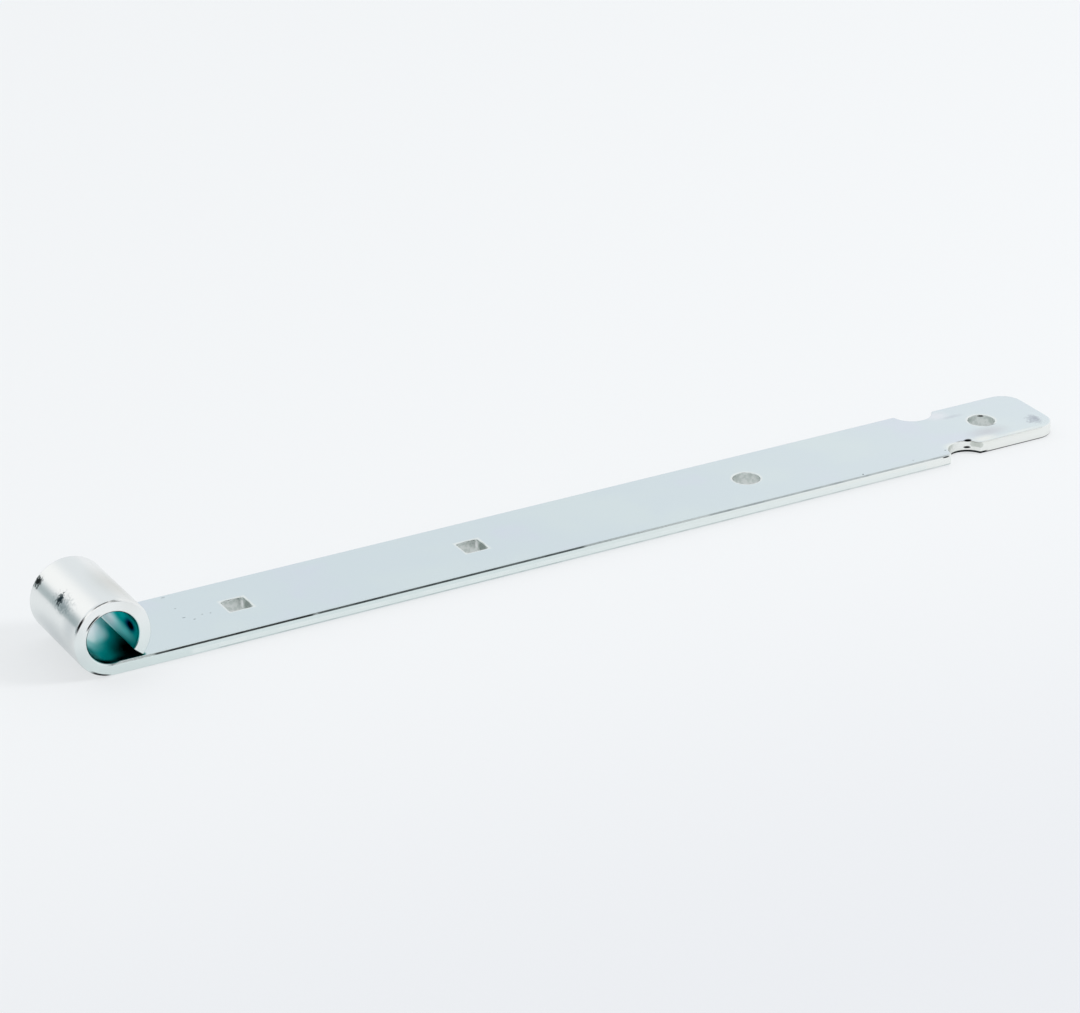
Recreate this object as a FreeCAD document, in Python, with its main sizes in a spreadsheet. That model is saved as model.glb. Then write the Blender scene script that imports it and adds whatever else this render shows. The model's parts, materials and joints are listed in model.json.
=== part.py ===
"""Band of a hook and band gate hinge: one piece of flat bar, rolled to an eye at one end.

The origin is the axis of the eye's bore, halfway along it. +X runs along the strap to its
tip, +Y along the bore, +Z up through the strap's thickness. All sizes are millimetres.
"""
import FreeCAD, Part
import math
import os
import Sketcher

# Driving dimensions, each with its own cell in the sheet
SIZES = {
    "strap_width": 40.0,
    "strap_thickness": 5.0,
    "bore_diameter": 19.0,
    "tip_reach": 400.0,
    "roll_end_gap": 0.2,
    "bar_edge_radius": 1.2,
    "square_hole_side": 9.0,
    "square_hole_corner": 1.0,
    "first_square_reach": 55.5,
    "second_square_reach": 150.0,
    "round_hole_diameter": 10.5,
    "middle_hole_setback": 132.5,
    "tip_hole_setback": 25.0,
    "tip_inset": 3.0,
    "tip_corner_radius": 8.5,
    "notch_radius": 8.0,
    "notch_setback": 44.5,
    "notch_corner_radius": 1.0,
    "tip_edge_radius": 0.7,
    "punch_roll_radius": 0.5,
    "cut_margin": 5.0,
}

# Two points closer than this are the same place
SAME = 1e-4

START, END, CENTRE = 1, 2, 3
ORIGIN = (-1, 1)
X_AXIS_LINE = -1

document = FreeCAD.newDocument("band")
sheet = document.addObject("Spreadsheet::Sheet", "Sizes")
for row, (alias, value) in enumerate(SIZES.items(), start=1):
    sheet.set(f"A{row}", alias.replace("_", " "))
    sheet.set(f"B{row}", str(value))
    sheet.setAlias(f"B{row}", alias)
document.recompute()

# Dependent sizes
bore_radius = sheet.bore_diameter / 2
eye_radius = bore_radius + sheet.strap_thickness
strap_top = -bore_radius
strap_underside = -eye_radius
half_width = sheet.strap_width / 2
tip_half_width = half_width - sheet.tip_inset
notch_reach = sheet.tip_reach - sheet.notch_setback


def origin_plane(body, role):
    """Return the body's own origin plane of that role."""
    for feature in body.Origin.OriginFeatures:
        if feature.Role == role:
            return feature
    raise ValueError(f"{body.Label} has no plane {role}")


def add_sketch(body, name, role):
    """Add an empty sketch on one of the body's origin planes."""
    sketch = body.newObject("Sketcher::SketchObject", name)
    sketch.AttachmentSupport = [(origin_plane(body, role), "")]
    sketch.MapMode = "FlatFace"
    return sketch


def point(x, y):
    """A point in a sketch's own plane."""
    return FreeCAD.Vector(x, y, 0)


def polar(centre, radius, angle):
    """The point at an angle on a circle in a sketch's own plane."""
    return point(centre.x + radius * math.cos(angle), centre.y + radius * math.sin(angle))


def add_line(sketch, start, end):
    """Add a line and return its number."""
    return sketch.addGeometry(Part.LineSegment(start, end))


def add_arc(sketch, centre, radius, start_angle, end_angle):
    """Add an arc, which runs anticlockwise, and return its number."""
    circle = Part.Circle(centre, FreeCAD.Vector(0, 0, 1), radius)
    return sketch.addGeometry(Part.ArcOfCircle(circle, start_angle, end_angle))


def rule(sketch, kind, *args):
    """Add a geometric constraint."""
    sketch.addConstraint(Sketcher.Constraint(kind, *args))


def size(sketch, name, expression, kind, *args):
    """Add a named dimension that is bound to the sheet."""
    number = sketch.addConstraint(Sketcher.Constraint(kind, *args))
    sketch.renameConstraint(number, name)
    sketch.setExpression(f"Constraints.{name}", expression)


def edge_points(edge):
    """Both ends and the middle of an edge."""
    middle = (edge.FirstParameter + edge.LastParameter) / 2
    return [edge.valueAt(at) for at in (edge.FirstParameter, middle, edge.LastParameter)]


def pick_edges(feature, wanted):
    """Names of the feature's edges for which wanted(points) holds."""
    edges = feature.Shape.Edges
    return [f"Edge{n}" for n, edge in enumerate(edges, start=1) if wanted(edge_points(edge))]


def round_edges(body, name, wanted, radius):
    """Fillet the edges of the body's tip for which wanted(points) holds."""
    base = body.Tip
    fillet = body.newObject("PartDesign::Fillet", name)
    fillet.Base = (base, pick_edges(base, wanted))
    fillet.setExpression("Radius", radius)
    document.recompute()
    return fillet


def built(item):
    """Stop if an object of the document failed to build."""
    if "Invalid" in item.State or "Error" in item.State:
        raise RuntimeError(f"{item.Label} failed to build")


def removes_metal(feature, before):
    """Stop if a cut failed or left the volume as it was."""
    built(feature)
    if feature.Shape.Volume > before - SAME:
        raise RuntimeError(f"{feature.Label} cuts nothing")


def cut_through(body, sketch, name):
    """Pocket a sketch on the XY plane down through the strap, away from the eye."""
    before = body.Tip.Shape.Volume
    pocket = body.newObject("PartDesign::Pocket", name)
    pocket.Profile = sketch
    pocket.Type = "Length"
    pocket.setExpression("Length", "Sizes.bore_diameter / 2 + Sizes.strap_thickness + Sizes.cut_margin")
    document.recompute()
    removes_metal(pocket, before)
    return pocket


# Side profile of the bent bar: the strap, rolled round and over until the cut end of the
# bar stands square on the strap's top face
def draw_side_profile(sketch):
    """Draw the closed side profile in the XZ plane."""
    axis = point(0, 0)
    roll_start = 3 * math.pi / 2
    roll_end = -math.asin((bore_radius - sheet.roll_end_gap) / eye_radius)
    tip = sheet.tip_reach
    inner = add_arc(sketch, axis, bore_radius, roll_end, roll_start)
    outer = add_arc(sketch, axis, eye_radius, roll_end, roll_start)
    bar_end = add_line(sketch, polar(axis, bore_radius, roll_end), polar(axis, eye_radius, roll_end))
    top = add_line(sketch, point(0, strap_top), point(tip, strap_top))
    tip_end = add_line(sketch, point(tip, strap_top), point(tip, strap_underside))
    underside = add_line(sketch, point(tip, strap_underside), point(0, strap_underside))

    rule(sketch, "Coincident", inner, CENTRE, *ORIGIN)
    rule(sketch, "Coincident", outer, CENTRE, *ORIGIN)
    rule(sketch, "Coincident", bar_end, START, inner, START)
    rule(sketch, "Coincident", bar_end, END, outer, START)
    rule(sketch, "PointOnObject", *ORIGIN, bar_end)
    rule(sketch, "Tangent", inner, END, top, START)
    rule(sketch, "Tangent", outer, END, underside, END)
    rule(sketch, "Coincident", top, END, tip_end, START)
    rule(sketch, "Coincident", tip_end, END, underside, START)
    rule(sketch, "Horizontal", top)
    rule(sketch, "Horizontal", underside)
    rule(sketch, "Vertical", tip_end)
    size(sketch, "bore_radius", "Sizes.bore_diameter / 2", "Radius", inner, bore_radius)
    size(sketch, "thickness", "Sizes.strap_thickness",
         "DistanceY", tip_end, END, tip_end, START, sheet.strap_thickness)
    size(sketch, "tip_reach", "Sizes.tip_reach", "DistanceX", *ORIGIN, tip_end, START, tip)
    size(sketch, "bar_end_drop", "Sizes.bore_diameter / 2 - Sizes.roll_end_gap",
         "DistanceY", bar_end, END, *ORIGIN, bore_radius - sheet.roll_end_gap)


# Waste that the press takes off one side of the tip: a round notch, then a strip that
# narrows the bar, then the rounded corner
def draw_tip_waste(sketch):
    """Draw the closed outline of the waste on the +Y side, in the XY plane."""
    margin = sheet.cut_margin
    notch_centre = point(notch_reach, half_width)
    shoulder_angle = -math.asin(sheet.tip_inset / sheet.notch_radius)
    notch_start = polar(notch_centre, sheet.notch_radius, math.pi)
    notch_end = polar(notch_centre, sheet.notch_radius, shoulder_angle)
    corner_centre = point(sheet.tip_reach - sheet.tip_corner_radius,
                          tip_half_width - sheet.tip_corner_radius)
    corner_start = polar(corner_centre, sheet.tip_corner_radius, math.pi / 2)
    corner_end = polar(corner_centre, sheet.tip_corner_radius, 0)
    beyond_tip = sheet.tip_reach + margin
    beyond_side = half_width + margin

    notch = add_arc(sketch, notch_centre, sheet.notch_radius, math.pi, 2 * math.pi + shoulder_angle)
    flank = add_line(sketch, notch_end, corner_start)
    corner = add_arc(sketch, corner_centre, sheet.tip_corner_radius, 0, math.pi / 2)
    out_of_tip = add_line(sketch, corner_end, point(beyond_tip, corner_end.y))
    past_tip = add_line(sketch, point(beyond_tip, corner_end.y), point(beyond_tip, beyond_side))
    past_side = add_line(sketch, point(beyond_tip, beyond_side), point(notch_start.x, beyond_side))
    back_in = add_line(sketch, point(notch_start.x, beyond_side), notch_start)

    rule(sketch, "Coincident", notch, END, flank, START)
    rule(sketch, "Tangent", flank, END, corner, END)
    rule(sketch, "Coincident", corner, START, out_of_tip, START)
    rule(sketch, "Coincident", out_of_tip, END, past_tip, START)
    rule(sketch, "Coincident", past_tip, END, past_side, START)
    rule(sketch, "Coincident", past_side, END, back_in, START)
    rule(sketch, "Coincident", back_in, END, notch, START)
    rule(sketch, "Horizontal", flank)
    rule(sketch, "Horizontal", out_of_tip)
    rule(sketch, "Horizontal", corner, CENTRE, corner, START)
    rule(sketch, "Vertical", past_tip)
    rule(sketch, "Horizontal", past_side)
    rule(sketch, "Vertical", back_in)
    rule(sketch, "Horizontal", notch, CENTRE, notch, START)
    size(sketch, "notch_radius", "Sizes.notch_radius", "Radius", notch, sheet.notch_radius)
    size(sketch, "corner_radius", "Sizes.tip_corner_radius", "Radius", corner, sheet.tip_corner_radius)
    size(sketch, "notch_reach", "Sizes.tip_reach - Sizes.notch_setback",
         "DistanceX", *ORIGIN, notch, CENTRE, notch_reach)
    size(sketch, "half_width", "Sizes.strap_width / 2", "DistanceY", *ORIGIN, notch, CENTRE, half_width)
    size(sketch, "tip_inset", "Sizes.tip_inset", "DistanceY", flank, START, notch, CENTRE, sheet.tip_inset)
    size(sketch, "tip_reach", "Sizes.tip_reach",
         "DistanceX", *ORIGIN, corner, START, sheet.tip_reach)
    size(sketch, "end_margin", "Sizes.cut_margin",
         "DistanceX", corner, START, past_tip, START, margin)
    size(sketch, "side_margin", "Sizes.cut_margin",
         "DistanceY", notch, CENTRE, past_side, START, margin)


def draw_square_hole(sketch, tag, reach, expression):
    """Draw one square hole with eased corners, centred on the strap at a reach from the bore."""
    half = sheet.square_hole_side / 2
    corner = sheet.square_hole_corner
    straight = half - corner
    quarter = math.pi / 2
    arcs = []
    sides = []
    for turn in range(4):
        angle = turn * quarter
        along = polar(point(0, 0), 1, angle)
        across = polar(point(0, 0), 1, angle + quarter)
        middle = point(reach, 0)
        sides.append(add_line(sketch, middle + along * half - across * straight,
                              middle + along * half + across * straight))
        arcs.append(add_arc(sketch, middle + along * straight + across * straight, corner,
                            angle, angle + quarter))
    for turn in range(4):
        rule(sketch, "Tangent", sides[turn], END, arcs[turn], START)
        rule(sketch, "Tangent", arcs[turn], END, sides[(turn + 1) % 4], START)
    right, far, left, near = sides
    rule(sketch, "Horizontal", far)
    rule(sketch, "Vertical", left)
    rule(sketch, "Horizontal", near)
    for arc in arcs[1:]:
        rule(sketch, "Equal", arcs[0], arc)
    rule(sketch, "Symmetric", right, START, right, END, X_AXIS_LINE)
    size(sketch, f"{tag}_corner", "Sizes.square_hole_corner", "Radius", arcs[0], corner)
    size(sketch, f"{tag}_length", "Sizes.square_hole_side",
         "DistanceX", left, START, right, START, sheet.square_hole_side)
    size(sketch, f"{tag}_width", "Sizes.square_hole_side",
         "DistanceY", near, START, far, START, sheet.square_hole_side)
    size(sketch, f"{tag}_reach", f"{expression} + Sizes.square_hole_side / 2",
         "DistanceX", *ORIGIN, right, START, reach + half)


def draw_round_hole(sketch, tag, setback, expression):
    """Draw one round hole on the strap's centre line, at a setback from the tip."""
    reach = sheet.tip_reach - setback
    radius = sheet.round_hole_diameter / 2
    circle = sketch.addGeometry(Part.Circle(point(reach, 0), FreeCAD.Vector(0, 0, 1), radius))
    rule(sketch, "PointOnObject", circle, CENTRE, X_AXIS_LINE)
    size(sketch, f"{tag}_diameter", "Sizes.round_hole_diameter",
         "Diameter", circle, sheet.round_hole_diameter)
    size(sketch, f"{tag}_reach", f"Sizes.tip_reach - {expression}",
         "DistanceX", *ORIGIN, circle, CENTRE, reach)


def is_upright(points):
    """True for an edge that runs straight up through the bar."""
    return all(abs(p.x - points[0].x) < SAME and abs(p.y - points[0].y) < SAME for p in points)


def is_bar_edge(points):
    """True for the long edges of the bar, along the strap and round the rolled eye."""
    level = all(abs(p.z - strap_top) < SAME for p in points)
    level = level or all(abs(p.z - strap_underside) < SAME for p in points)
    rolled = any(all(abs(math.hypot(p.x, p.z) - radius) < SAME for p in points)
                 for radius in (bore_radius, eye_radius))
    across = all(abs(p.x - points[0].x) < SAME and abs(p.z - points[0].z) < SAME for p in points)
    return (level or rolled) and not across


def is_notch_corner(points):
    """True for the upright edges where a notch meets the tip's side."""
    beside = abs(abs(points[0].y) - tip_half_width) < SAME
    near_notch = abs(points[0].x - notch_reach) < sheet.notch_radius + SAME
    return is_upright(points) and beside and near_notch


def is_tip_edge(points):
    """True for the edges that the press cut: round the tip, the notches and the strap's corners."""
    beyond = all(p.x > notch_reach - sheet.notch_radius - SAME for p in points)
    at_strap_corner = abs(abs(points[0].y) - half_width) < SAME
    return beyond and (at_strap_corner or not is_upright(points))


def is_hole_rim(points):
    """True for the upper rims of the four holes in the strap."""
    level = all(abs(p.z - strap_top) < SAME for p in points)
    largest = max(sheet.square_hole_side, sheet.round_hole_diameter) / 2
    inside = all(abs(p.y) < largest + SAME for p in points)
    before_tip = all(p.x < sheet.tip_reach - SAME for p in points)
    past_eye = all(p.x > eye_radius for p in points)
    return level and inside and before_tip and past_eye


band = document.addObject("PartDesign::Body", "hinge_band")
band.Label = "hinge_band"

# Flat bar, cut to length and rolled
profile = add_sketch(band, "side_profile", "XZ_Plane")
draw_side_profile(profile)
bar = band.newObject("PartDesign::Pad", "rolled_bar")
bar.Profile = profile
bar.SideType = "Symmetric"
bar.setExpression("Length", "Sizes.strap_width")
document.recompute()

# Long edges, left well rounded by the rolling mill
round_edges(band, "bar_edges", is_bar_edge, "Sizes.bar_edge_radius")

# Notched and rounded tip, cut by the press, the same on both sides and less rounded
waste = add_sketch(band, "tip_waste", "XY_Plane")
draw_tip_waste(waste)
side_cut = cut_through(band, waste, "tip_side_cut")
one_side_volume = band.Tip.Shape.Volume
both_sides = band.newObject("PartDesign::Mirrored", "tip_both_sides")
both_sides.Originals = [side_cut]
both_sides.MirrorPlane = (origin_plane(band, "XZ_Plane"), [""])
band.Tip = both_sides
document.recompute()
removes_metal(both_sides, one_side_volume)
round_edges(band, "notch_corners", is_notch_corner, "Sizes.notch_corner_radius")
round_edges(band, "tip_edges", is_tip_edge, "Sizes.tip_edge_radius")

# Two square holes for carriage bolts, which keep the bolt's square neck from turning
squares = add_sketch(band, "square_holes", "XY_Plane")
draw_square_hole(squares, "first", sheet.first_square_reach, "Sizes.first_square_reach")
draw_square_hole(squares, "second", sheet.second_square_reach, "Sizes.second_square_reach")
cut_through(band, squares, "carriage_bolt_holes")

# Two round holes for coach screws or bolts
rounds = add_sketch(band, "round_holes", "XY_Plane")
draw_round_hole(rounds, "middle", sheet.middle_hole_setback, "Sizes.middle_hole_setback")
draw_round_hole(rounds, "tip", sheet.tip_hole_setback, "Sizes.tip_hole_setback")
cut_through(band, rounds, "round_bolt_holes")

# Upper rims of the holes, drawn in a little by the punch
round_edges(band, "hole_rims", is_hole_rim, "Sizes.punch_roll_radius")

band.Placement = FreeCAD.Placement()
document.recompute()

for item in document.Objects:
    built(item)
if band.Shape.isNull() or not band.Shape.isValid() or len(band.Shape.Solids) != 1:
    raise RuntimeError("the band is not one valid solid")

os.makedirs("parts", exist_ok=True)
band.Shape.exportStep(f"parts/{band.Label}.step")
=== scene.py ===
"""Looks of a zinc plated hinge band: its mesh, its plating, the studio and the camera.

The band is one piece of flat bar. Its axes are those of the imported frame: the origin on the
axis of the eye's bore, +X along the strap to its tip, +Y along the bore, +Z up. Lengths are
metres, and sizes that read better in millimetres are multiplied by MM.
"""
from __future__ import annotations

import json
import logging
import math
from dataclasses import dataclass, field
from enum import Enum
from typing import Iterable

import bmesh
import bpy
from mathutils import Matrix, Vector

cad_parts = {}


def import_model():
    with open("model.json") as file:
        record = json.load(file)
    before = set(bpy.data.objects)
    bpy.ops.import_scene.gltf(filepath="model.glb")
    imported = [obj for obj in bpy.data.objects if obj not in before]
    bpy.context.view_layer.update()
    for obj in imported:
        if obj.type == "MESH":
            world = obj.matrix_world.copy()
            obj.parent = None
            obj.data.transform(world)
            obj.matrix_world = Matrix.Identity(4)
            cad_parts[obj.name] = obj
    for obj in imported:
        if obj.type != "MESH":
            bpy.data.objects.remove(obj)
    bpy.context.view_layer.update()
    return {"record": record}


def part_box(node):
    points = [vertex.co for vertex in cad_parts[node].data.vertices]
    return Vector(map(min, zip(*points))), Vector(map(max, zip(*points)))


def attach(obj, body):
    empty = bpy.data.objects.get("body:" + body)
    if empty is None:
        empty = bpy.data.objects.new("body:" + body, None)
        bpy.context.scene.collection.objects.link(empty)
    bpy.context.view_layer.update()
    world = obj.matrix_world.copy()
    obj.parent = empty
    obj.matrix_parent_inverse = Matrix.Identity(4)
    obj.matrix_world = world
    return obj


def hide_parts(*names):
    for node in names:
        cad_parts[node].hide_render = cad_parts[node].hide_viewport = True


MM = 0.001
SQUARE_SIDE = 9.0 * MM
FLOOR_GAP = 0.02 * MM
BODY = "root"
NODE = "hinge_band"
SIDE_NOTE = "turned_to_side"
PHOTO_WIDTH_PX = 1080
WHITE = (1.0, 1.0, 1.0, 1.0)
# What every node that mixes two colours is told.
MIX_COLOURS = {"out": "Result", "data_type": "RGBA"}

Socket = bpy.types.NodeSocket

log = logging.getLogger("hinge_band")


def linear_colour(hex_code: str) -> tuple[float, float, float, float]:
    """Turn an sRGB hex code into a linear colour with full alpha.

    Args:
        hex_code: Six hex digits after a hash sign.

    Returns:
        Red, green, blue and alpha, linear.
    """
    channels = [int(hex_code[at : at + 2], 16) / 255 for at in (1, 3, 5)]
    linear = [c / 12.92 if c <= 0.04045 else ((c + 0.055) / 1.055) ** 2.4 for c in channels]
    return (linear[0], linear[1], linear[2], 1.0)


def direction(azimuth_deg: float, elevation_deg: float) -> Vector:
    """The unit vector of a compass direction in the row frame.

    Args:
        azimuth_deg: Turn from +Y towards +X.
        elevation_deg: Height above the horizon.

    Returns:
        The unit vector.
    """
    azimuth, elevation = math.radians(azimuth_deg), math.radians(elevation_deg)
    flat = math.cos(elevation)
    return Vector((math.sin(azimuth) * flat, math.cos(azimuth) * flat, math.sin(elevation)))


@dataclass
class Shading:
    """A node tree that grows by one call per node."""

    tree: bpy.types.NodeTree

    def __post_init__(self) -> None:
        """Start with an empty tree."""
        self.tree.nodes.clear()

    def add(
        self, kind: str, inputs: dict, out: int | str = 0, **settings: object
    ) -> Socket | None:
        """Add a node with its settings, values and links.

        Args:
            kind: The node's bl_idname.
            inputs: Input name or number to a value, or to the socket that feeds it.
            out: Name or number of the output to give back.
            **settings: Attributes of the node.

        Returns:
            The chosen output, or None for a node that has none.
        """
        node = self.tree.nodes.new(kind)
        for name, value in settings.items():
            setattr(node, name, value)
        for key, value in inputs.items():
            if isinstance(value, Socket):
                self.tree.links.new(value, node.inputs[key])
            else:
                node.inputs[key].default_value = value
        return node.outputs[out] if node.outputs else None

    def within(
        self, limits: Iterable[tuple[Socket, float, float]], share: float = 1.0
    ) -> Socket:
        """Cut a share down by soft limits.

        Args:
            limits: For each limit the value it looks at, the size of that value where nothing
                of the share is left, and the size where all of it is.
            share: The share before the limits.

        Returns:
            The share that is left.
        """
        left: float | Socket = share
        for value, gone, full in limits:
            part = self.add(
                "ShaderNodeMapRange",
                {"Value": value, "From Min": gone, "From Max": full},
                interpolation_type="SMOOTHSTEP",
            )
            left = self.add("ShaderNodeMath", {0: part, 1: left}, operation="MULTIPLY")
        return left


@dataclass(frozen=True)
class Fade:
    """A soft limit in millimetres: where nothing is left, and where all is."""

    gone_mm: float
    full_mm: float

    def past(self, start: float) -> tuple[float, float]:
        """The limit's two places in metres, measured from a start."""
        return start + self.gone_mm * MM, start + self.full_mm * MM


class HoleShape(Enum):
    """Shapes of punched hole, each with the sides of its outline."""

    SQUARE = 4
    ROUND = 64


@dataclass(frozen=True)
class Hole:
    """A punched hole on the strap's middle line; half is half its side, or its radius."""

    x: float
    half: float
    shape: HoleShape


@dataclass
class BandSizes:
    """Sizes of the band in metres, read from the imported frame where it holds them."""

    eye_radius: float
    bore_radius: float
    half_width: float
    tip_reach: float
    holes: tuple[Hole, ...]
    square_corner: float = 1.0 * MM
    tip_inset: float = 3.0 * MM
    tip_corner: float = 8.5 * MM
    notch_radius: float = 8.0 * MM
    notch_setback: float = 44.5 * MM
    notch_corner: float = 1.0 * MM
    bar_edge: float = 1.2 * MM
    tip_edge: float = 0.7 * MM
    hole_rim: float = 0.3 * MM
    cut_edge: float = 0.22 * MM
    roll_end_gap: float = 0.2 * MM

    @classmethod
    def from_frame(cls, record: dict) -> "BandSizes":
        """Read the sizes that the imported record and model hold.

        Args:
            record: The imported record.

        Returns:
            The sizes.
        """
        low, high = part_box(NODE)
        mounts = {mount["name"]: mount for mount in record["mounts"]}
        bolts = mounts["round_bolt_holes"]
        half_pitch = bolts["dims"]["spacing_x_mm"] * MM / 2
        bolt_radius = bolts["dims"]["hole_r_mm"] * MM
        squares = [
            Hole(mounts[name]["pos_m"][0], SQUARE_SIDE / 2, HoleShape.SQUARE)
            for name in ("first_square_hole", "second_square_hole")
        ]
        rounds = [
            Hole(bolts["pos_m"][0] + step, bolt_radius, HoleShape.ROUND)
            for step in (-half_pitch, half_pitch)
        ]
        return cls(
            eye_radius=-low[2],
            bore_radius=mounts["pin_bore"]["dims"]["r_mm"] * MM,
            half_width=high[1],
            tip_reach=high[0],
            holes=(*squares, *rounds),
        )

    @property
    def top(self) -> float:
        """Height of the strap's top face."""
        return -self.bore_radius

    @property
    def thickness(self) -> float:
        """Thickness of the bar."""
        return self.eye_radius - self.bore_radius

    @property
    def tip_half_width(self) -> float:
        """Half the width of the tip beyond the notches."""
        return self.half_width - self.tip_inset

    @property
    def notch_x(self) -> float:
        """Place of the notches along the strap."""
        return self.tip_reach - self.notch_setback

    @property
    def notch_floor(self) -> float:
        """Distance from the strap's middle line to the bottom of a notch."""
        return self.half_width - self.notch_radius

    @property
    def roll_angle(self) -> float:
        """How far the bar turns round the bore, from the strap's start to its cut end."""
        end_angle = math.asin((self.bore_radius - self.roll_end_gap) / self.eye_radius)
        return 2 * math.pi - (math.pi / 2 - end_angle)


@dataclass
class BandMesh:
    """Models the band as the bar is made: cut out flat, eased, then rolled at one end."""

    sizes: BandSizes
    arc_step_deg: float = 10.0
    roll_steps: int = 128
    edge_segments: int = 5
    rim_segments: int = 4
    cut_segments: int = 2
    corner_segments: int = 5
    crisp_angle_deg: float = 45.0
    sharp_angle_deg: float = 35.0
    # Bar drawn behind the bore's axis and cut off again before the rolling.
    lead_in: float = 4.8 * MM
    # The wall of a hole lies within this many half sides of its middle.
    wall_reach: float = 1.5
    flat_weight: int = 100
    same: float = 1e-6
    bm: bmesh.types.BMesh = field(default_factory=bmesh.new)

    def build(self) -> bpy.types.Object:
        """Model the band.

        Returns:
            The finished object, at the origin.
        """
        self._draw_half_outline()
        self._mirror_outline()
        self._draw_holes()
        self._fill_plan()
        self._thicken()
        self._ease_square_corners()
        self._round_edges()
        self._note_sides()
        self._roll_eye()
        return self._finish()

    def _line(self, start: bmesh.types.BMVert, x: float, y: float) -> bmesh.types.BMVert:
        """Draw a straight edge.

        Args:
            start: The vertex that the edge starts from.
            x: The end's place along the strap.
            y: The end's place across the strap.

        Returns:
            The vertex at the edge's end.
        """
        end = self.bm.verts.new((x, y, self.sizes.top))
        self.bm.edges.new((start, end))
        return end

    def _arc(
        self, start: bmesh.types.BMVert, x: float, y: float, angle: float
    ) -> bmesh.types.BMVert:
        """Draw an arc by spinning a vertex about a centre.

        Args:
            start: The vertex that the arc starts from.
            x: The centre's place along the strap.
            y: The centre's place across the strap.
            angle: Turn in radians, anticlockwise seen from above.

        Returns:
            The vertex at the arc's end.
        """
        steps = max(self.corner_segments, round(abs(math.degrees(angle)) / self.arc_step_deg))
        made = bmesh.ops.spin(
            self.bm,
            geom=[start],
            cent=(x, y, self.sizes.top),
            axis=(0, 0, 1),
            angle=angle,
            steps=steps,
            use_duplicate=False,
        )
        return next(g for g in made["geom_last"] if isinstance(g, bmesh.types.BMVert))

    def _draw_half_outline(self) -> None:
        """Draw the +Y half of the plan: side, notch, narrowed tip and its corner."""
        s = self.sizes
        drop = s.tip_inset + s.notch_corner
        reach = s.notch_radius + s.notch_corner
        run = math.sqrt(reach**2 - drop**2)
        shoulder = math.asin(drop / reach)

        at = self.bm.verts.new((-self.lead_in, 0, s.top))
        at = self._line(at, -self.lead_in, s.half_width)
        at = self._line(at, s.notch_x - s.notch_radius, s.half_width)
        at = self._arc(at, s.notch_x, s.half_width, math.pi - shoulder)
        at = self._arc(at, s.notch_x + run, s.half_width - drop, shoulder - math.pi / 2)
        corner_x = s.tip_reach - s.tip_corner
        at = self._line(at, corner_x, s.tip_half_width)
        at = self._arc(at, corner_x, s.tip_half_width - s.tip_corner, -math.pi / 2)
        self._line(at, s.tip_reach, 0)

    def _mirror_outline(self) -> None:
        """Mirror the half outline to the -Y side and join the halves."""
        geom = self.bm.verts[:] + self.bm.edges[:]
        bmesh.ops.mirror(
            self.bm, geom=geom, matrix=Matrix.Identity(4), merge_dist=self.same, axis="Y"
        )
        bmesh.ops.remove_doubles(self.bm, verts=self.bm.verts[:], dist=self.same)

    def _draw_holes(self) -> None:
        """Draw the outlines of the holes; a square one is a turned circle of four sides."""
        for hole in self.sizes.holes:
            place = Matrix.Translation((hole.x, 0, self.sizes.top))
            radius = hole.half
            if hole.shape is HoleShape.SQUARE:
                place @= Matrix.Rotation(math.pi / 4, 4, "Z")
                radius *= math.sqrt(2)
            bmesh.ops.create_circle(
                self.bm, segments=hole.shape.value, radius=radius, matrix=place
            )

    def _fill_plan(self) -> None:
        """Fill the plan round the holes, with one face between each two holes."""
        bmesh.ops.triangle_fill(
            self.bm, use_beauty=True, use_dissolve=False, edges=self.bm.edges[:], normal=(0, 0, 1)
        )
        centres = [hole.x for hole in self.sizes.holes]
        for x in centres:
            geom = self.bm.verts[:] + self.bm.edges[:] + self.bm.faces[:]
            bmesh.ops.bisect_plane(
                self.bm, geom=geom, dist=self.same, plane_co=(x, 0, 0), plane_no=(1, 0, 0)
            )
        limits = [-math.inf, *centres, math.inf]
        for low, high in zip(limits, limits[1:]):
            between = [f for f in self.bm.faces if low < f.calc_center_median().x < high]
            bmesh.ops.dissolve_faces(self.bm, faces=between, use_verts=False)

    def _thicken(self) -> None:
        """Extrude the plan down by the bar's thickness."""
        made = bmesh.ops.extrude_face_region(self.bm, geom=self.bm.faces[:])
        lower = [g for g in made["geom"] if isinstance(g, bmesh.types.BMVert)]
        bmesh.ops.translate(self.bm, verts=lower, vec=(0, 0, -self.sizes.thickness))
        bmesh.ops.recalc_face_normals(self.bm, faces=self.bm.faces[:])

    def _crisp_edges(self) -> list[bmesh.types.BMEdge]:
        """The edges where the surface turns by more than the crisp angle."""
        limit = math.radians(self.crisp_angle_deg)
        return [edge for edge in self.bm.edges if edge.calc_face_angle(0) > limit]

    def _beside_hole(
        self, edge: bmesh.types.BMEdge, shapes: Iterable[HoleShape] = HoleShape
    ) -> bool:
        """Tell whether an edge is on the wall of a hole.

        Args:
            edge: The edge.
            shapes: The shapes of hole that count.

        Returns:
            True for an edge on the wall of a hole of one of the shapes.
        """
        middle = (edge.verts[0].co + edge.verts[1].co) / 2
        return any(
            math.hypot(middle.x - hole.x, middle.y) < self.wall_reach * hole.half
            for hole in self.sizes.holes
            if hole.shape in shapes
        )

    def _ease_square_corners(self) -> None:
        """Round the upright corners of the square holes."""
        corners = [
            edge
            for edge in self._crisp_edges()
            if abs(edge.verts[0].co.z - edge.verts[1].co.z) > self.sizes.thickness / 2
            and self._beside_hole(edge, [HoleShape.SQUARE])
        ]
        self._bevel(corners, self.sizes.square_corner, self.corner_segments)

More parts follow.
